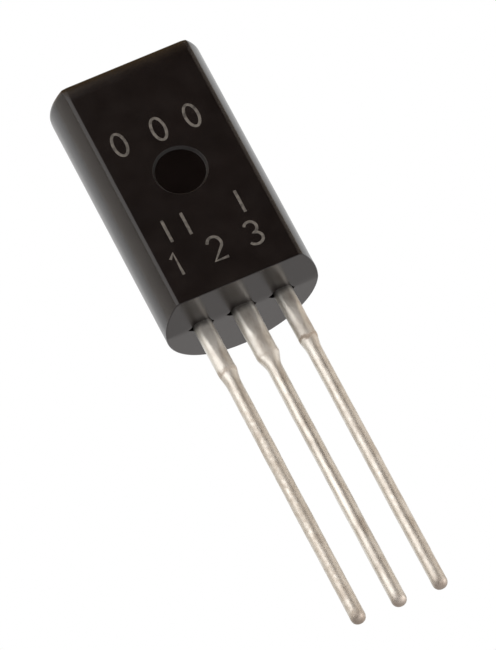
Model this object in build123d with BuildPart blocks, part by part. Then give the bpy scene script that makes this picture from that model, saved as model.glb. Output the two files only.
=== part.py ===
"""A three-lead transistor in the long-bodied TO-92 package, upright as on a circuit board.

Millimetres. X runs across the leads and Z up along the part, with the leads pointing down. The
flat front of the body faces -Y. The origin is in the middle lead, on the board's surface, where
the lead's wide root ends and its slim leg begins.
"""

import os
from math import asin, degrees, radians, tan

from build123d import *

# Moulded body
body_width = 4.8
body_depth = 3.8
body_length = 8.3
lead_end_draft_angle = 3.7
top_end_draft_angle = 5.5
front_edge_radius = 0.15
top_edge_radius = 0.14
lead_end_edge_radius = 0.03
parting_fold_radius = 1.0
pin_mark_diameter = 1.64
pin_mark_depth = 0.1
pin_mark_draft_angle = 30

# Lead frame, stamped from one sheet
lead_pitch = 1.27
lead_length = 10.7
sheet_thickness = 0.45
leg_width = 0.45
outer_root_width = 0.57
middle_root_width = 0.7
root_length = 1.65
shoulder_length = 0.4
tip_corner_radius = 0.2
stamped_edge_radius = 0.18
sheet_set_back = 0.1

# Ends of the leads inside the body
paddle_width = 0.95
paddle_length = 1.0
paddle_start = 1.2
island_width = 2.6
island_length = 3.2
island_start = 2.7

# Chip and the solder under it
chip_side = 1.1
chip_thickness = 0.22
chip_centre_from_island = 1.2
solder_thickness = 0.04
solder_margin = 0.06

# Bond wires
wire_diameter = 0.05
wire_loop_height = 0.4
wire_neck_bend = 0.12
wire_knee_share = 0.55
bond_diameter = 0.13
bond_thickness = 0.05
bond_place_share = 0.25

# Places that follow from the sizes, with the middle of the sheet at y = 0
body_radius = body_width / 2
flat_offset = body_depth - body_radius
flat_angle = degrees(asin(flat_offset / body_radius))
axis_y = -sheet_set_back
front_y = axis_y - flat_offset
back_y = axis_y + body_radius
shoulder_end = root_length + shoulder_length
lead_end_z = shoulder_end
top_end_z = lead_end_z + body_length
middle_z = (lead_end_z + top_end_z) / 2
sheet_back_y = sheet_thickness / 2
sheet_front_y = -sheet_back_y
solder_front_y = sheet_front_y - solder_thickness
chip_front_y = solder_front_y - chip_thickness
chip_z = lead_end_z + island_start + chip_centre_from_island
paddle_z = lead_end_z + paddle_start + paddle_length / 2


def facing_front(x, y, z):
    """A plane through the given point, parallel to the flat front and facing the same way."""
    return Plane(origin=(x, y, z), x_dir=(1, 0, 0), z_dir=(0, -1, 0))


def make_lead(pin_x, root_width, head_width, head_start, head_length):
    """One lead cut from the sheet: a head inside the body, a wide root and a slim leg."""
    head_end = head_start + head_length
    with BuildPart() as lead:
        with BuildSketch(facing_front(pin_x, sheet_back_y, lead_end_z)) as outline:
            with BuildLine():
                Polyline(
                    (0, head_end),
                    (head_width / 2, head_end),
                    (head_width / 2, head_start),
                    (root_width / 2, head_start),
                    (root_width / 2, -root_length),
                    (leg_width / 2, -shoulder_end),
                    (leg_width / 2, -lead_length),
                    (0, -lead_length),
                )
                mirror(about=Plane.YZ)
            make_face()
            fillet(outline.vertices().group_by(Axis.Y)[0], radius=tip_corner_radius)
        extrude(amount=sheet_thickness)
        fillet(lead.faces().filter_by(Axis.Y).edges(), radius=stamped_edge_radius)
    return lead


def make_bond_wire(pin_x, chip_x):
    """One wire that leaves the chip straight out, kinks over and slopes back to a paddle."""
    foot = facing_front(pin_x, sheet_front_y, paddle_z)
    chip_pad = facing_front(chip_x, chip_front_y, chip_z - bond_place_share * chip_side)
    run = Vector(chip_x - pin_x, 0, chip_pad.origin.Z - paddle_z)
    chip_rise = sheet_front_y - chip_front_y
    loop_rise = chip_rise + wire_loop_height
    upright = Plane(origin=foot.origin, x_dir=run, z_dir=run.cross(foot.z_dir))
    with BuildPart() as wire:
        with BuildLine(upright) as route:
            Polyline(
                (run.length, chip_rise),
                (run.length, loop_rise - wire_neck_bend),
                (run.length - wire_neck_bend, loop_rise),
                (run.length * wire_knee_share, loop_rise),
                (0, bond_thickness / 2),
            )
        with BuildSketch(chip_pad):
            Circle(wire_diameter / 2)
        sweep(path=route.wire(), transition=Transition.RIGHT)
        for pad in (foot, chip_pad):
            with BuildSketch(pad):
                Circle(bond_diameter / 2)
            extrude(amount=bond_thickness)
    return wire


# Leads, from left to right as the flat front faces the viewer
emitter_lead = make_lead(-lead_pitch, outer_root_width, paddle_width, paddle_start, paddle_length)
collector_lead = make_lead(0, middle_root_width, island_width, island_start, island_length)
base_lead = make_lead(lead_pitch, outer_root_width, paddle_width, paddle_start, paddle_length)

# Solder layer between the collector's island and the chip
with BuildPart() as chip_solder:
    with BuildSketch(facing_front(0, sheet_front_y, chip_z)):
        Rectangle(chip_side + 2 * solder_margin, chip_side + 2 * solder_margin)
    extrude(amount=solder_thickness)

# Chip
with BuildPart() as silicon_chip:
    with BuildSketch(facing_front(0, solder_front_y, chip_z)):
        Rectangle(chip_side, chip_side)
    extrude(amount=chip_thickness)

# Bond wires
emitter_bond_wire = make_bond_wire(-lead_pitch, -bond_place_share * chip_side)
base_bond_wire = make_bond_wire(lead_pitch, bond_place_share * chip_side)

# Moulded body: a D section with a flat front, drafted both ways from the sheet's middle plane,
# and moulded tightly around everything inside it
inner_pieces = {
    "emitter_lead": emitter_lead,
    "collector_lead": collector_lead,
    "base_lead": base_lead,
    "chip_solder": chip_solder,
    "silicon_chip": silicon_chip,
    "emitter_bond_wire": emitter_bond_wire,
    "base_bond_wire": base_bond_wire,
}
lead_end_slope = tan(radians(lead_end_draft_angle))
top_end_slope = tan(radians(top_end_draft_angle))

with BuildPart() as moulded_body:
    with BuildSketch(Plane(origin=(0, axis_y, lead_end_z))):
        with BuildLine():
            back = CenterArc((0, 0), body_radius, -flat_angle, 180 + 2 * flat_angle)
            Line(back @ 0, back @ 1)
        make_face()
    extrude(amount=body_length)

    with BuildSketch(Plane.YZ) as side:
        with BuildLine():
            Polyline(
                (0, lead_end_z),
                (back_y, lead_end_z + back_y * lead_end_slope),
                (back_y, top_end_z - back_y * top_end_slope),
                (0, top_end_z),
                (front_y, top_end_z + front_y * top_end_slope),
                (front_y, lead_end_z - front_y * lead_end_slope),
                close=True,
            )
        make_face()
        ends = side.vertices().sort_by(Axis.Y)
        fillet([ends[0], ends[-1]], radius=parting_fold_radius)
    extrude(amount=body_width, both=True, mode=Mode.INTERSECT)

    fillet(moulded_body.edges().filter_by(Axis.Z), radius=front_edge_radius)
    folds = moulded_body.edges().filter_by(Axis.X).filter_by(lambda edge: edge.center().Y > front_y / 2)
    rims = moulded_body.edges().filter_by(Axis.Z, reverse=True) - folds
    lead_end_rim = rims.filter_by(lambda edge: edge.center().Z < middle_z)
    top_rim = rims.filter_by(lambda edge: edge.center().Z > middle_z)
    fillet(lead_end_rim, radius=lead_end_edge_radius)
    fillet(top_rim, radius=top_edge_radius)

    with BuildSketch(facing_front(0, front_y, middle_z)):
        Circle(pin_mark_diameter / 2)
    extrude(amount=-pin_mark_depth, taper=pin_mark_draft_angle, mode=Mode.SUBTRACT)

    for piece in inner_pieces.values():
        add(piece.part, mode=Mode.SUBTRACT)

# One file for each piece
os.makedirs("parts", exist_ok=True)
for name, piece in {"moulded_body": moulded_body, **inner_pieces}.items():
    piece.part.label = name
    export_step(piece.part, f"parts/{name}.step")
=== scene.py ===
"""Looks of a long-bodied TO-92 transistor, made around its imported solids.

The moulded body and the three leads are rebuilt as finer meshes of the same form. The part is
upright, as it sits on a board, and the camera looks up at it from the front and the left.
"""

from math import atan2, cos, exp, pi, radians, sin, sqrt, tan

import bmesh
import bpy
from mathutils import Matrix, Vector, noise


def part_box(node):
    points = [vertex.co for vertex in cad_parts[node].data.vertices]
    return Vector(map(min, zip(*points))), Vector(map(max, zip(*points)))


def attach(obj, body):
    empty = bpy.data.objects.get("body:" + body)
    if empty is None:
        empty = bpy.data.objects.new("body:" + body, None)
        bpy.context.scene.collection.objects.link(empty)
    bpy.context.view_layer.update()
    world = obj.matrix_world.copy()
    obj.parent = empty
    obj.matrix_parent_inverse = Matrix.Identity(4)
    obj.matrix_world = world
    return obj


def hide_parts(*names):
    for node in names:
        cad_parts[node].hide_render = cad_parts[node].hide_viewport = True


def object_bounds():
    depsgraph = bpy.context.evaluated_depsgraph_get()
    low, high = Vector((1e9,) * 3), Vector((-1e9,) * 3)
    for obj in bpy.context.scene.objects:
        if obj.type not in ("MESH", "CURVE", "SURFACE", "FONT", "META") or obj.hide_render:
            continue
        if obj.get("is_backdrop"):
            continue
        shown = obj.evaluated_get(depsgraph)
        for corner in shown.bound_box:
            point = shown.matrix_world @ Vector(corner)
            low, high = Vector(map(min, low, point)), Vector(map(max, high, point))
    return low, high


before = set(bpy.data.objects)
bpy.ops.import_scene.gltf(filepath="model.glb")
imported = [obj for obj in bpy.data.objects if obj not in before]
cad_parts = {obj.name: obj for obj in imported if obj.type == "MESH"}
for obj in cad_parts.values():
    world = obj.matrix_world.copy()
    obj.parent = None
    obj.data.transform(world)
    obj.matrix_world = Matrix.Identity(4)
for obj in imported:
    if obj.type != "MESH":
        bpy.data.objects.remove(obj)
cad_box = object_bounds()
MM = 0.001

# Sizes and places read from the solids
body_low, body_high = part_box("moulded_body")
body_radius = (body_high.x - body_low.x) / 2
front_y, back_y = body_low.y, body_high.y
lead_end_z, top_end_z = body_low.z, body_high.z
axis_y = back_y - body_radius
middle_z = (lead_end_z + top_end_z) / 2
lowest_z = cad_box[0].z

# Moulded body. Where an edge of the top faces the front by more than top_front_facing_share, its
# rim changes from the side's sizes to the front's
lead_end_slope = tan(radians(3.7))
top_end_slope = tan(radians(5.5))
corner_radius = 0.18 * MM
lead_end_rim_radius = 0.03 * MM
top_side_inset = 0.09 * MM
top_side_roll_off = 0.18 * MM
top_front_inset = 0.12 * MM
top_front_roll_off = 0.55 * MM
top_front_facing_share = 0.6
top_corner_growth = 0.12 * MM
body_sharp_angle = radians(25)

# Pin mark on the front
pin_mark_radius = 0.8 * MM
pin_mark_depth = 0.1 * MM
pin_mark_wall_slope = tan(radians(30))
pin_mark_lip = 0.013 * MM
pin_mark_lip_rounding = 0.3
pin_mark_overrun = 0.1 * MM

# Pits in the moulding beside the leads
left_pit_reach = 0.17 * MM
right_pit_reach = 0.09 * MM
pit_overlap = 0.03 * MM
pit_half_width = 0.25 * MM
pit_depth = 0.2 * MM
pit_floor_share = 0.45

# Finishes of the moulding, in the order of its material slots: shade and range of roughness. A
# shade below 1 is painted shade on the pin mark's floor and wall
moulding_finishes = {
    "black_epoxy": (1.0, (0.17, 0.27)),
    "polished_epoxy_with_painted_shade": (0.5, (0.1, 0.16)),
    "dull_epoxy_with_painted_shade": (0.7, (0.45, 0.55)),
}
polished_painted_shade_slot, dull_painted_shade_slot = 1, 2

# Leads
leg_width = 0.45 * MM
root_widths = {"emitter_lead": 0.57 * MM, "collector_lead": 0.7 * MM, "base_lead": 0.57 * MM}
head_starts = {"emitter_lead": 1.2 * MM, "collector_lead": 2.7 * MM, "base_lead": 1.2 * MM}
root_end_z = 0.38 * MM
shoulder_end_z = -0.15 * MM
tip_radius = 0.2 * MM
stamped_edge_radius = 0.18 * MM
bowed_edge_share = 0.94
bow_start_z = 1.6 * MM
bow_end_z = 0.7 * MM
burr_z = 0.36 * MM
burr_height = 0.012 * MM
burr_spread = 0.09 * MM
lead_sharp_angle = radians(50)

# Unevenness of the tin, with its waves per metre. It fades out just below the body
tin_unevenness = 0.009 * MM
tin_waves_across = 1400
tin_waves_along = 700
fine_wave_ratio = 2.7
fine_wave_share = 0.5
tin_full_below_body = 0.3 * MM
tin_even_below_body = 0.05 * MM

# Tarnish of the tin, the brown stain of the sheared tip, and painted shade: a brown band at the
# shoulder's step and a dark band next to the body
tarnish_shares = {"emitter_lead": 0.7, "collector_lead": 0.1, "base_lead": 0.4}
tarnish_fade_in = 1.5 * MM
tarnish_colour = (0.59, 0.54, 0.475)
# Painted shade: a brown band across each lead where its outline steps at the shoulder
shoulder_painted_shade = {"band_z": 0.3 * MM, "half_height": 0.13 * MM, "raggedness": 0.18 * MM}
shoulder_painted_shade_strengths = {"emitter_lead": 0.45, "collector_lead": 0.2, "base_lead": 0.65}
shoulder_painted_shade_colour = (0.36, 0.28, 0.215)
tip_stain = {"band_z": lowest_z, "half_height": 0.42 * MM, "raggedness": 0.16 * MM}
tip_stain_strength = 0.75
tip_stain_colour = (0.29, 0.235, 0.195)
# Painted shade: a dark band on each lead next to the body
painted_shade_at_body = {"band_z": lead_end_z, "half_height": 0.24 * MM, "raggedness": 0.07 * MM}
painted_shade_at_body_strength = 0.8
painted_shade_at_body_colour = (0.1, 0.09, 0.085)
tarnish_extra_roughness = 0.2
stain_and_shade_extra_roughness = 0.35
root_extra_roughness = 0.07

# Marks printed on the front
mark_width = 0.46 * MM
mark_height = 0.78 * MM
mark_stroke = 0.095 * MM
mark_thickness = 0.006 * MM

# What the moulding hides: dark and light colour, range of roughness and waves per metre of each
# finish, and the nodes' finishes
inner_looks = {
    "solder": ((0.36, 0.36, 0.37), (0.55, 0.55, 0.54), (0.35, 0.5), 9000),
    "silicon": ((0.10, 0.11, 0.14), (0.16, 0.17, 0.21), (0.08, 0.16), 6000),
    "bond_wire": ((0.78, 0.54, 0.16), (0.88, 0.66, 0.27), (0.15, 0.25), 30000),
}
inner_finishes = {
    "chip_solder": "solder",
    "silicon_chip": "silicon",
    "emitter_bond_wire": "bond_wire",
    "base_bond_wire": "bond_wire",
}

# Studio, in metres. Each screen has a name, a range of azimuths and one of elevations in degrees,
# and its colours at the foot and at the top
world_colour = (1.0, 0.985, 0.96)
world_strength = 0.88
floor_drop = 0.4
floor_half_side = 3.0
floor_colour_in_gloss = (1.0, 0.96, 0.94)
screen_distance = 0.8
black, deep_black = (0.05, 0.036, 0.032), (0.04, 0.03, 0.026)
brown, amber, beige = (0.55, 0.38, 0.2), (0.72, 0.5, 0.34), (0.71, 0.615, 0.525)
cream, off_white = (0.95, 0.90, 0.85), (0.97, 0.955, 0.93)
SCREENS = [
    ("front_screen", (-6, 29), (-5, 38), black, black),
    ("upper_screen", (-20, 50), (38, 60), black, brown),
    ("left_screen", (-130, -60), (0, 40), off_white, cream),
    ("upper_left_screen", (-165, -20), (40, 60), cream, amber),
    ("ceiling_screen", (-180, 180), (60, 90), brown, brown),
    ("right_screen", (29, 120), (6, 38), beige, beige),
    ("low_screen", (-75, 28), (-62, -5), deep_black, deep_black),
]

# Camera, found from the photograph's edges. The sensor spans the picture's height
image_height_px = 650
focal_px = 9000
sensor_mm = 36
camera_distance = 258 * MM
camera_azimuth = -11.68
camera_elevation = -27.62
camera_roll = radians(-28.19)
camera_aim = Vector((-0.045, 0.242, 1.614)) * MM


# Helpers for numbers and places
def evenly(start, end, steps):
    """Evenly spaced values from start to end, both included."""
    return [start + (end - start) * k / steps for k in range(steps + 1)]


def smooth_share(start, end, value):
    """0 up to start, 1 from end on, and a smooth rise between them."""
    share = min(max((value - start) / (end - start), 0.0), 1.0)
    return share * share * (3 - 2 * share)


def arc(centre_x, centre_y, radius, start, end, steps):
    """Points and outward directions on an arc, both ends included."""
    for angle in evenly(start, end, steps):
        out = Vector((cos(angle), sin(angle)))
        yield Vector((centre_x, centre_y)) + radius * out, out


def direction(azimuth, elevation):
    """From the part outwards, by degrees: azimuth 0 is in front of it and 90 is to its right."""
    across, up = radians(azimuth), radians(elevation)
    return Vector((sin(across) * cos(up), -cos(across) * cos(up), sin(up)))


def lead_middle(node):
    low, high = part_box(node)
    return (low.x + high.x) / 2


# Helpers for meshes
def add_object(name, data):
    piece = bpy.data.objects.new(name, data)
    bpy.context.scene.collection.objects.link(piece)
    return piece


def mesh_from(bm, name):
    bmesh.ops.recalc_face_normals(bm, faces=bm.faces)
    for face in bm.faces:
        face.smooth = True
    mesh = bpy.data.meshes.new(name)
    bm.to_mesh(mesh)
    bm.free()
    return mesh


def loft(bm, rings):
    """Joins a list of closed rings of points with quads and returns the rings' vertices."""
    made = [[bm.verts.new(point) for point in ring] for ring in rings]
    count = len(rings[0])
    for lower, upper in zip(made, made[1:]):
        for i in range(count):
            j = (i + 1) % count
            bm.faces.new((lower[i], lower[j], upper[j], upper[i]))
    return made


def closed_loft(bm, rings):
    """Joins rings of points and covers the first and the last."""
    made = loft(bm, rings)
    bm.faces.new(made[0])
    bm.faces.new(made[-1])


def evaluated_mesh(piece):
    graph = bpy.context.evaluated_depsgraph_get()
    return bpy.data.meshes.new_from_object(piece.evaluated_get(graph))


def bake_modifiers(piece):
    """Gives a piece the mesh that its modifiers make, and removes them."""
    mesh = evaluated_mesh(piece)
    piece.modifiers.clear()
    piece.data = mesh


def even_normals(piece, sharp_angle):
    """Keeps flat faces flat and puts the change of shading into the rounded edges."""
    piece.data.set_sharp_from_angle(angle=sharp_angle)
    weighted = piece.modifiers.new("even_normals", "WEIGHTED_NORMAL")
    weighted.mode = "FACE_AREA"
    weighted.keep_sharp = True
    bake_modifiers(piece)


def cut(piece, cutter):
    """Cuts one piece out of another and removes it."""
    boolean = piece.modifiers.new("cut", "BOOLEAN")
    boolean.operation = "DIFFERENCE"
    boolean.solver = "EXACT"
    boolean.object = cutter
    bake_modifiers(piece)
    bpy.data.objects.remove(cutter)


# Moulded body
def body_outline(front_corner_radius):
    """The D section, counter-clockwise from above.

    Each entry has a point, its outward direction and whether it is on the parting plane.
    """
    corner_y = front_y + front_corner_radius
    corner_x = sqrt((body_radius - front_corner_radius) ** 2 - (corner_y - axis_y) ** 2)
    side_start = atan2(corner_y - axis_y, corner_x)
    parting = atan2(-axis_y, sqrt(body_radius**2 - axis_y**2))
    corner_steps, front_steps, back_steps = 8, 24, 120
    runs = [
        arc(corner_x, corner_y, front_corner_radius, -pi / 2, side_start, corner_steps),
        arc(0, axis_y, body_radius, side_start, parting, front_steps),
        arc(0, axis_y, body_radius, parting, pi - parting, back_steps),
        arc(0, axis_y, body_radius, pi - parting, pi - side_start, front_steps),
        arc(-corner_x, corner_y, front_corner_radius, pi - side_start, 3 * pi / 2, corner_steps),
    ]
    outline = []
    for run_number, run in enumerate(runs):
        for k, (point, out) in enumerate(run):
            if k == 0 and run_number > 0:
                continue
            outline.append([point, out, False])
    seam = corner_steps + front_steps
    outline[seam][2] = outline[seam + back_steps][2] = True
    return outline


def rim_size(out, at_top):
    """Inset and height of a rim's rounding, which is larger on the top's front than on its side."""
    if not at_top:
        return lead_end_rim_radius, lead_end_rim_radius
    front_share = smooth_share(top_front_facing_share, 1.0, -out.y)
    inset = top_side_inset + (top_front_inset - top_side_inset) * front_share
    height = top_side_roll_off + (top_front_roll_off - top_side_roll_off) * front_share
    return inset, height


def body_ring(turn, at_top):
    """One ring of a rounded rim; turn is 0 on the side wall and a right angle on the end face."""
    growth = top_corner_growth if at_top else 0.0
    slope = top_end_slope if at_top else lead_end_slope
    ring = []
    for point, out, on_parting in body_outline(corner_radius + growth * (1 - cos(turn))):
        rim_inset, rim_height = rim_size(out, at_top)
        x, y = point - rim_inset * (1 - cos(turn)) * out
        if on_parting:
            y = 0.0
        from_end = abs(y) * slope + rim_height * (1 - sin(turn))
        ring.append((x, y, top_end_z - from_end if at_top else lead_end_z + from_end))
    return ring


def close_end(bm, ring, outline):
    """Covers an end with its two drafted halves, which meet at the parting plane."""
    first, second = [i for i, entry in enumerate(outline) if entry[2]]
    bm.faces.new(ring[first : second + 1])
    bm.faces.new(ring[second:] + ring[: first + 1])


def pin_mark_cutter():
    """A shallow dish with a rounded lip, turned about the line through the middle of the front."""
    floor_radius = pin_mark_radius - pin_mark_depth * pin_mark_wall_slope
    rounding = pin_mark_lip_rounding * pin_mark_lip
    profile = [
        (pin_mark_radius + 2 * pin_mark_lip, -pin_mark_overrun),
        (pin_mark_radius + pin_mark_lip, 0),
        (pin_mark_radius + rounding, rounding),
        (pin_mark_radius - pin_mark_lip * pin_mark_wall_slope, pin_mark_lip),
        (floor_radius + pin_mark_lip, pin_mark_depth - pin_mark_lip),
        (floor_radius + rounding, pin_mark_depth - rounding),
        (floor_radius - pin_mark_lip, pin_mark_depth),
    ]
    segments = 96
    turns = [2 * pi * k / segments for k in range(segments)]
    rings = []
    for radius, depth in profile:
        y = front_y + depth
        rings.append([(radius * cos(t), y, middle_z + radius * sin(t)) for t in turns])
    bm = bmesh.new()
    closed_loft(bm, rings)
    return add_object("pin_mark_cutter", mesh_from(bm, "pin_mark_cutter"))


def pit_cutter(pin_x, root_width):
    """Small wedges beside a lead, where the moulding leaves a pit on the parting plane."""
    bm = bmesh.new()
    for side, reach in ((-1, left_pit_reach), (1, right_pit_reach)):
        edge_x = pin_x + side * (root_width / 2 - pit_overlap)
        tip_x = pin_x + side * (root_width / 2 + reach)
        rings = []
        for z, share in ((lead_end_z - pit_depth, 1.0), (lead_end_z + pit_depth, pit_floor_share)):
            half_width = pit_half_width * share
            rings.append([(edge_x, -half_width, z), (edge_x, half_width, z), (tip_x, 0.0, z)])
        closed_loft(bm, rings)
    return add_object("pit_cutter", mesh_from(bm, "pit_cutter"))


def finish_pin_mark(body):
    """Gives the mark's floor, pressed by a polished pin, one finish and its wall another, both with
    painted shade that darkens the epoxy's colour.
    """
    least_depth, most_depth = 0.01 * pin_mark_depth, 1.1 * pin_mark_depth
    floor_depth, floor_facing_share = 0.9 * pin_mark_depth, 0.95
    for face in body.data.polygons:
        depth = face.center.y - front_y
        from_middle = sqrt(face.center.x**2 + (face.center.z - middle_z) ** 2)
        if from_middle > pin_mark_radius + pin_mark_lip or not least_depth < depth < most_depth:
            continue
        on_floor = depth > floor_depth and -face.normal.y > floor_facing_share
        face.material_index = polished_painted_shade_slot if on_floor else dull_painted_shade_slot


def make_body():
    outline = body_outline(corner_radius)
    rim_steps = 12
    turns = evenly(0, pi / 2, rim_steps)
    rings = [body_ring(turn, False) for turn in reversed(turns)]
    rings += [body_ring(turn, True) for turn in turns]
    bm = bmesh.new()
    made = loft(bm, rings)
    close_end(bm, made[0], outline)
    close_end(bm, made[-1], outline)
    body = add_object("moulding", mesh_from(bm, "moulding"))
    cut(body, pin_mark_cutter())
    for node, root_width in root_widths.items():
        cut(body, pit_cutter(lead_middle(node), root_width))
    even_normals(body, body_sharp_angle)
    finish_pin_mark(body)
    return body


# Leads
def lead_half_width(node, z, head_width):
    root_width = root_widths[node]
    if z > lead_end_z + head_starts[node]:
        return head_width / 2
    root_share = smooth_share(shoulder_end_z, root_end_z, z)
    return (leg_width + (root_width - leg_width) * root_share) / 2


def lead_heights(node, tip_z, head_end_z):
    """Heights of a lead's rings, close together at the rounded tip and where the outline steps."""
    tip_steps, spacing, step_gap = 6, 0.06 * MM, 0.002 * MM
    heights = [tip_z + tip_radius * (1 - cos(turn)) for turn in evenly(0, pi / 2, tip_steps)]
    head_start_z = lead_end_z + head_starts[node]
    while heights[-1] + spacing < head_start_z - step_gap:
        heights.append(heights[-1] + spacing)
    return heights + [head_start_z - step_gap, head_start_z + step_gap, head_end_z]


def rounded_section(half_width, half_depth, radius_x, radius_y):
    """Points and outward directions of a rectangle with elliptical corners, counter-clockwise."""
    corner_steps = 9
    for quarter in range(4):
        x_sign = 1 if quarter in (0, 3) else -1
        y_sign = 1 if quarter in (0, 1) else -1
        centre = Vector((x_sign * (half_width - radius_x), y_sign * (half_depth - radius_y)))
        for k in range(corner_steps + 1):
            turn = (quarter + k / corner_steps) * pi / 2
            out = Vector((cos(turn) / radius_x, sin(turn) / radius_y)).normalized()
            yield centre + Vector((radius_x * cos(turn), radius_y * sin(turn))), out


def bowed_radius(half_size, z):
    """Corner radius of a lead: small at the body, nearly half the section on shoulder and leg."""
    bow = 1 - smooth_share(bow_end_z, bow_start_z, z)
    plain = min(stamped_edge_radius, bowed_edge_share * half_size)
    return plain + (bowed_edge_share * half_size - plain) * bow


def burr(z, out):
    """How far the trimmed edge of the shoulder stands out, on the right side of a lead."""
    return burr_height * max(out.x, 0.0) * exp(-(((z - burr_z) / burr_spread) ** 2))


def tin_ripple(x, y, z):
    """How far the dipped tin stands out or in, in metres."""
    place = Vector((x * tin_waves_across, y * tin_waves_across, z * tin_waves_along))
    fine = fine_wave_share * noise.noise(place * fine_wave_ratio)
    return tin_unevenness * (noise.noise(place) + fine)


def make_lead(node):
    low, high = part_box(node)
    pin_x, half_depth = lead_middle(node), (high.y - low.y) / 2
    full_z, even_z = lead_end_z - tin_full_below_body, lead_end_z - tin_even_below_body
    rings = []
    for z in lead_heights(node, low.z, high.z):
        above_tip = min(z - low.z, tip_radius)
        tip_inset = tip_radius - sqrt(tip_radius**2 - (tip_radius - above_tip) ** 2)
        half_width = lead_half_width(node, z, high.x - low.x) - tip_inset
        depth_here = half_depth - tip_inset
        radius_x, radius_y = bowed_radius(half_width, z), bowed_radius(depth_here, z)
        uneven_share = 1 - smooth_share(full_z, even_z, z)
        ring = []
        for point, out in rounded_section(half_width, depth_here, radius_x, radius_y):
            x, y = pin_x + point.x, point.y
            swell = uneven_share * tin_ripple(x, y, z) + burr(z, out)
            ring.append((x + swell * out.x, y + swell * out.y, z))
        rings.append(ring)
    bm = bmesh.new()
    closed_loft(bm, rings)
    lead = add_object(node.replace("lead", "tinned_lead"), mesh_from(bm, node))
    even_normals(lead, lead_sharp_angle)
    return lead


# Marks on the front, all plain: pin numbers, rings and bars. Their lines are drawn in a square
# from (0, 0) to (1, 1)
def ellipse_path(middle_across, middle_up, half_across, half_up, start, end):
    """Points on an ellipse, from one angle in degrees to another."""
    steps = 24
    turns = [radians(angle) for angle in evenly(start, end, steps)]
    return [(middle_across + half_across * cos(t), middle_up + half_up * sin(t)) for t in turns]


upper_bow = ellipse_path(0.46, 0.75, 0.4, 0.25, 155, -90)
lower_bow = ellipse_path(0.46, 0.25, 0.46, 0.25, 90, -155)
MARKS = {
    "1": [(0.2, 0.78), (0.52, 1.0), (0.52, 0.0)],
    "2": ellipse_path(0.5, 0.7, 0.44, 0.3, 165, -35) + [(0.06, 0.0), (0.96, 0.0)],
    "3": upper_bow + lower_bow,
    "ring": ellipse_path(0.5, 0.5, 0.42, 0.5, 0, 360),
    "bar": [(0.5, 0.0), (0.5, 1.0)],
}

# Rows of marks: the height of each row, and each mark's place across
MARK_ROWS = [
    (7.72 * MM, [("ring", -1.23 * MM), ("ring", 0.0), ("ring", 1.05 * MM)]),
    (4.5 * MM, [("bar", -1.2 * MM), ("bar", -0.6 * MM), ("bar", 1.1 * MM)]),
    (3.38 * MM, [("1", -1.36 * MM), ("2", -0.15 * MM), ("3", 1.02 * MM)]),
]


def make_marks():
    """Flat strokes of ink on the front, swept along each mark's line."""
    curve = bpy.data.curves.new("marks", "CURVE")
    curve.dimensions = "3D"
    curve.bevel_depth = mark_stroke / 2
    curve.bevel_resolution = 3
    curve.use_fill_caps = True
    for row_z, marks in MARK_ROWS:
        for mark, mark_x in marks:
            path = MARKS[mark]
            spline = curve.splines.new("POLY")
            spline.points.add(len(path) - 1)
            for point, (across, up) in zip(spline.points, path):
                x = mark_x + (across - 0.5) * mark_width
                z = row_z + (up - 0.5) * mark_height
                point.co = (x, 0.0, z, 1.0)
    sweep = add_object("marks_sweep", curve)
    mesh = evaluated_mesh(sweep)
    bpy.data.objects.remove(sweep)
    for vertex in mesh.vertices:
        vertex.co.y = front_y + vertex.co.y * mark_thickness / (mark_stroke / 2)
    return add_object("front_marks", mesh)


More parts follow.
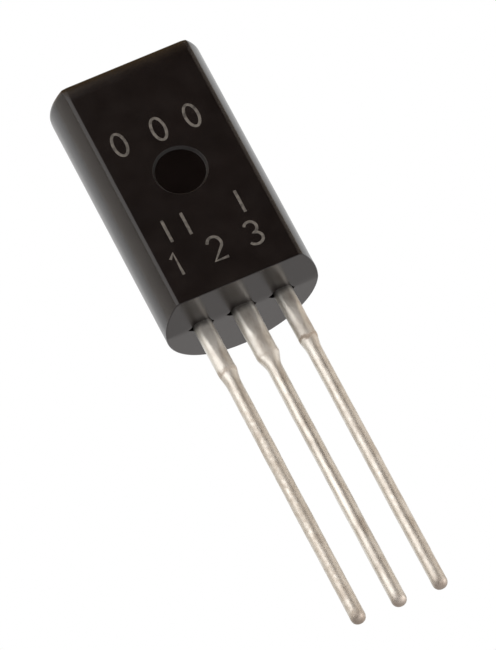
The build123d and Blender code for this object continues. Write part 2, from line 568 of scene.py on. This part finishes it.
# Materials
class Shading:
    """A tree of shader nodes, with a method for each step that the materials are made of."""

    def __init__(self, tree):
        self.nodes, self.links = tree.nodes, tree.links

    def set_inputs(self, node, inputs):
        """Gives a node's inputs, by name or number, another node's output or else a constant."""
        for name, value in inputs.items():
            if isinstance(value, bpy.types.NodeSocket):
                self.links.new(value, node.inputs[name])
            else:
                node.inputs[name].default_value = value

    def add(self, kind, inputs=None, **settings):
        """A new node. Its settings come first, because they decide which inputs it has."""
        node = self.nodes.new(kind)
        for name, value in settings.items():
            setattr(node, name, value)
        self.set_inputs(node, inputs or {})
        return node

    def noise_texture(self, scale, detail, stretch=(1, 1, 1)):
        """Noise in the part's own place, in waves per metre."""
        place = self.add("ShaderNodeTexCoord").outputs["Object"]
        mapping = self.add("ShaderNodeMapping", {"Vector": place, "Scale": stretch})
        inputs = {"Vector": mapping.outputs["Vector"], "Scale": scale, "Detail": detail}
        return self.add("ShaderNodeTexNoise", inputs).outputs["Fac"]

    def height(self, coordinates="Object"):
        """Height in the part's own place, or in another kind of coordinates."""
        place = self.add("ShaderNodeTexCoord").outputs[coordinates]
        return self.add("ShaderNodeSeparateXYZ", {"Vector": place}).outputs["Z"]

    def maths(self, operation, first, second=None):
        """One step of arithmetic on an output and, if given, another output or a number."""
        inputs = {0: first} if second is None else {0: first, 1: second}
        return self.add("ShaderNodeMath", inputs, operation=operation).outputs["Value"]

    def spread(self, value, low, high, start=0.0, end=1.0, interpolation="LINEAR"):
        """Takes values from start to end, and spreads them from low to high."""
        inputs = {"Value": value, "From Min": start, "From Max": end, "To Min": low, "To Max": high}
        node = self.add("ShaderNodeMapRange", inputs, interpolation_type=interpolation)
        return node.outputs["Result"]

    def ramp(self, value, stops):
        """The colour for a value, blended between stops, each with a value and a colour."""
        node = self.add("ShaderNodeValToRGB", {"Fac": value})
        elements = node.color_ramp.elements
        while len(elements) < len(stops):
            elements.new(0.5)
        for element, (position, colour) in zip(elements, stops):
            element.position = position
            element.color = (*colour, 1.0)
        return node.outputs["Color"]

    def blend(self, share, first, second):
        """Blends from the first colour, an output, to the second, a constant."""
        inputs = {"Factor": share, "A": first, "B": (*second, 1.0)}
        return self.add("ShaderNodeMix", inputs, data_type="RGBA").outputs["Result"]

    def bump(self, height, distance):
        inputs = {"Height": height, "Distance": distance}
        return self.add("ShaderNodeBump", inputs).outputs["Normal"]

    def is_ray(self, *kinds):
        """1 for a ray of any of these kinds, or else 0."""
        path = self.add("ShaderNodeLightPath")
        found = path.outputs[kinds[0]]
        for kind in kinds[1:]:
            found = self.maths("MAXIMUM", found, path.outputs[kind])
        return found

    def mix_shaders(self, share, first, second):
        inputs = {"Fac": share, 1: first, 2: second}
        return self.add("ShaderNodeMixShader", inputs).outputs["Shader"]


def new_material(name):
    material = bpy.data.materials.new(name)
    material.use_nodes = True
    shading = Shading(material.node_tree)
    return material, shading, shading.nodes["Principled BSDF"]


def set_material(piece, material):
    """Puts a material into all of a piece's slots, of which it gets one if it has none."""
    slots = piece.data.materials
    if len(slots) == 0:
        slots.append(material)
    for k in range(len(slots)):
        slots[k] = material


def epoxy_material(name, shade, roughness_range):
    """Black moulding compound: brown-black, with a faint mottle and a fine mould grain."""
    material, shading, shader = new_material(name)
    dark, light = (0.0047, 0.0028, 0.0024), (0.0078, 0.0048, 0.0041)
    # A shade below 1 darkens the colour: painted shade in the pin mark's hollow
    stops = [(0.3, [shade * part for part in dark]), (0.7, [shade * part for part in light])]
    mottle = shading.noise_texture(scale=900, detail=4)
    patches = shading.noise_texture(scale=1800, detail=3)
    grain = shading.noise_texture(scale=22000, detail=2)
    shading.set_inputs(shader, {
        "Base Color": shading.ramp(mottle, stops),
        "Roughness": shading.spread(patches, *roughness_range),
        "Normal": shading.bump(grain, distance=0.0012 * MM),
        "IOR": 1.48,
    })
    return material


def stain_and_shade_band(shading, strength, band_z, half_height, raggedness):
    """How dark a band of the tin is painted, for the tip's stain and for painted shade: most at
    band_z, fading out over half_height, with a ragged edge.
    """
    noise_here = shading.noise_texture(scale=5000, detail=3)
    shift = shading.spread(noise_here, -raggedness, raggedness)
    ragged = shading.maths("ADD", shading.height(), shift)
    from_band = shading.maths("ABSOLUTE", shading.maths("SUBTRACT", ragged, band_z))
    return shading.spread(from_band, strength, 0.0, end=half_height, interpolation="SMOOTHSTEP")


def tarnish_patches(shading, share):
    """How tarnished the tin is: in small patches along the slim leg, and not on the root."""
    full_z = shoulder_end_z - tarnish_fade_in
    on_leg = shading.spread(shading.height(), 0.0, share, start=root_end_z, end=full_z)
    patches = shading.noise_texture(scale=8500, detail=4, stretch=(1, 1, 0.8))
    sharp = shading.spread(patches, 0.0, 1.0, start=0.3, end=0.62)
    return shading.maths("MULTIPLY", sharp, on_leg)


def tin_roughness(shading, tarnish, stain_and_shade):
    """Uneven gloss, duller where the tin is tarnished, at the stained tip and the shoulder's band
    of painted shade, and on the cleaned roots.
    """
    patches = shading.noise_texture(scale=2600, detail=4, stretch=(1, 1, 0.4))
    from_stain_and_shade = shading.maths("MULTIPLY", stain_and_shade, stain_and_shade_extra_roughness)
    from_tarnish = shading.maths("MULTIPLY", tarnish, tarnish_extra_roughness)
    on_root = shading.spread(
        shading.height(), 0.0, root_extra_roughness, start=shoulder_end_z, end=root_end_z
    )
    wear = shading.maths("ADD", shading.maths("ADD", from_stain_and_shade, from_tarnish), on_root)
    return shading.maths("ADD", shading.spread(patches, 0.28, 0.52), wear)


def tin_material(lead_node):
    """Dipped tin: warm silver, tarnished, brown at the sheared tip, with painted shade in a brown
    band at the trimmed shoulder and a dark band next to the body.
    """
    material, shading, shader = new_material(f"tin_of_{lead_node}")
    stops = [(0.3, (0.53, 0.49, 0.44)), (0.5, (0.71, 0.685, 0.635)), (0.7, (0.82, 0.805, 0.765))]
    colour = shading.ramp(shading.noise_texture(scale=3600, detail=6, stretch=(1, 1, 0.45)), stops)
    tarnish = tarnish_patches(shading, tarnish_shares[lead_node])
    shoulder_shade = stain_and_shade_band(shading, shoulder_painted_shade_strengths[lead_node], **shoulder_painted_shade)
    tip = stain_and_shade_band(shading, tip_stain_strength, **tip_stain)
    shade_at_body = stain_and_shade_band(shading, painted_shade_at_body_strength, **painted_shade_at_body)
    colour = shading.blend(tarnish, colour, tarnish_colour)
    # Painted shade: the shoulder's step darkens the tin in a brown band
    colour = shading.blend(shoulder_shade, colour, shoulder_painted_shade_colour)
    colour = shading.blend(tip, colour, tip_stain_colour)
    # Painted shade: the tin goes dark where the lead enters the body
    colour = shading.blend(shade_at_body, colour, painted_shade_at_body_colour)
    grain = shading.noise_texture(scale=9000, detail=2, stretch=(1, 1, 0.5))
    shading.set_inputs(shader, {
        "Base Color": colour,
        "Roughness": tin_roughness(shading, tarnish, shading.maths("MAXIMUM", shoulder_shade, tip)),
        "Normal": shading.bump(grain, distance=0.006 * MM),
        "Metallic": 1.0,
    })
    return material


def ink_material():
    """Matt grey marking, a little worn, so that the black shows through in specks."""
    material, shading, shader = new_material("marking")
    specks = shading.noise_texture(scale=9000, detail=4)
    stops = [(0.3, (0.042, 0.036, 0.031)), (0.6, (0.13, 0.115, 0.1))]
    shading.set_inputs(shader, {
        "Base Color": shading.ramp(specks, stops),
        "Roughness": shading.spread(specks, 0.75, 0.55),
    })
    return material


def inner_metal_material(name, dark, light, roughness_range, scale):
    material, shading, shader = new_material(name)
    grain = shading.noise_texture(scale, detail=3)
    shading.set_inputs(shader, {
        "Base Color": shading.ramp(grain, [(0.3, dark), (0.7, light)]),
        "Roughness": shading.spread(grain, *roughness_range),
        "Metallic": 1.0,
    })
    return material


def dress_inner_nodes():
    """Gives what the moulding hides its finishes."""
    finishes = {name: inner_metal_material(name, *look) for name, look in inner_looks.items()}
    for node, name in inner_finishes.items():
        set_material(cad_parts[node], finishes[name])


# Stage, light and camera
def make_world():
    """White to the eye, in gloss and through glass, and plain light for everything else."""
    world = bpy.data.worlds.new("studio")
    world.use_nodes = True
    shading = Shading(world.node_tree)
    lit = shading.nodes["Background"]
    shading.set_inputs(lit, {"Color": (*world_colour, 1.0), "Strength": world_strength})
    white_inputs = {"Color": (1.0, 1.0, 1.0, 1.0), "Strength": 1.0}
    white = shading.add("ShaderNodeBackground", white_inputs)
    seen = shading.is_ray("Is Camera Ray", "Is Glossy Ray", "Is Transmission Ray")
    both = shading.mix_shaders(seen, lit.outputs["Background"], white.outputs["Background"])
    shading.set_inputs(shading.nodes["World Output"], {"Surface": both})
    bpy.context.scene.world = world


def make_floor():
    """A pale floor, far enough down for the camera to look up from above it, and white in gloss."""
    floor_z = lowest_z - floor_drop
    corners = [(-1, -1), (1, -1), (1, 1), (-1, 1)]
    bm = bmesh.new()
    places = [(floor_half_side * x, floor_half_side * y, floor_z) for x, y in corners]
    bm.faces.new([bm.verts.new(place) for place in places])
    floor = add_object("floor", mesh_from(bm, "floor"))
    material, shading, shader = new_material("floor")
    stops = [(0.3, (0.9, 0.9, 0.895)), (0.7, (0.92, 0.92, 0.915))]
    colour = shading.ramp(shading.noise_texture(scale=40, detail=2), stops)
    shading.set_inputs(shader, {"Base Color": colour, "Roughness": 0.9})
    white = shading.add("ShaderNodeEmission", {"Color": (*floor_colour_in_gloss, 1.0)})
    mirrored = shading.is_ray("Is Glossy Ray")
    both = shading.mix_shaders(mirrored, shader.outputs["BSDF"], white.outputs["Emission"])
    shading.set_inputs(shading.nodes["Material Output"], {"Surface": both})
    set_material(floor, material)
    floor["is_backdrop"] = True


def make_screen(name, azimuths, elevations, foot_colour, top_colour):
    """A curved screen that only gloss sees, shaded from its foot to its top."""
    steps = 16
    bm = bmesh.new()
    columns = []
    for azimuth in evenly(*azimuths, steps):
        outs = [direction(azimuth, elevation) for elevation in evenly(*elevations, steps)]
        columns.append([bm.verts.new(out * screen_distance) for out in outs])
    for left, right in zip(columns, columns[1:]):
        for j in range(steps):
            bm.faces.new((left[j], right[j], right[j + 1], left[j + 1]))
    screen = add_object(name, mesh_from(bm, name))
    material, shading, shader = new_material(name)
    stops = [(0.0, foot_colour), (1.0, top_colour)]
    shading.set_inputs(shader, {
        "Base Color": shading.ramp(shading.height("Generated"), stops),
        "Roughness": 1.0,
        "Specular IOR Level": 0.0,
    })
    set_material(screen, material)
    screen.visible_camera = False
    screen.visible_diffuse = False
    screen.visible_shadow = False
    screen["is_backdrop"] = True


def make_lamp(name, azimuth, elevation, distance, side, power, colour):
    """A square soft lamp that faces the middle of the body."""
    lamp = bpy.data.lights.new(name, "AREA")
    lamp.size = side
    lamp.energy = power
    lamp.color = colour
    holder = add_object(name, lamp)
    out = direction(azimuth, elevation)
    holder.location = middle_z * Vector((0, 0, 1)) + distance * out
    holder.rotation_euler = out.to_track_quat("Z", "Y").to_euler()
    return holder


def make_camera():
    camera = bpy.data.cameras.new("camera")
    camera.sensor_width = sensor_mm
    camera.lens = sensor_mm * focal_px / image_height_px
    camera.clip_start, camera.clip_end = 0.01, 10.0
    holder = add_object("camera", camera)
    back = direction(camera_azimuth, camera_elevation)
    level = back.to_track_quat("Z", "Y").to_matrix()
    rolled = level @ Matrix.Rotation(camera_roll, 3, "Z")
    holder.matrix_world = Matrix.Translation(camera_aim + camera_distance * back) @ rolled.to_4x4()
    bpy.context.scene.camera = holder


# The part
moulding = make_body()
for finish_name, (shade, roughness_range) in moulding_finishes.items():
    moulding.data.materials.append(epoxy_material(finish_name, shade, roughness_range))
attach(moulding, "root")
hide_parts("moulded_body")

tinned_leads = bpy.data.collections.new("tinned_leads")
for lead_node in root_widths:
    lead_piece = make_lead(lead_node)
    tinned_leads.objects.link(lead_piece)
    set_material(lead_piece, tin_material(lead_node))
    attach(lead_piece, "root")
    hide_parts(lead_node)

front_marks = make_marks()
set_material(front_marks, ink_material())
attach(front_marks, "root")

dress_inner_nodes()

# The studio. The low lamp lights only the leads
make_world()
make_floor()
for screen_row in SCREENS:
    make_screen(*screen_row)
make_lamp(
    "left_lamp", azimuth=-34, elevation=30, distance=0.5,
    side=0.6, power=1.05, colour=(1.0, 0.94, 0.9),
)
low_lamp = make_lamp(
    "low_lamp", azimuth=62, elevation=-28, distance=0.5,
    side=0.46, power=2.6, colour=(1.0, 0.96, 0.93),
)
low_lamp.light_linking.receiver_collection = tinned_leads
make_camera()
bpy.context.scene.view_settings.view_transform = "Standard"

boxes = {"cad": cad_box, "visual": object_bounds()}
{name: [list(corner) for corner in box] for name, box in boxes.items()}
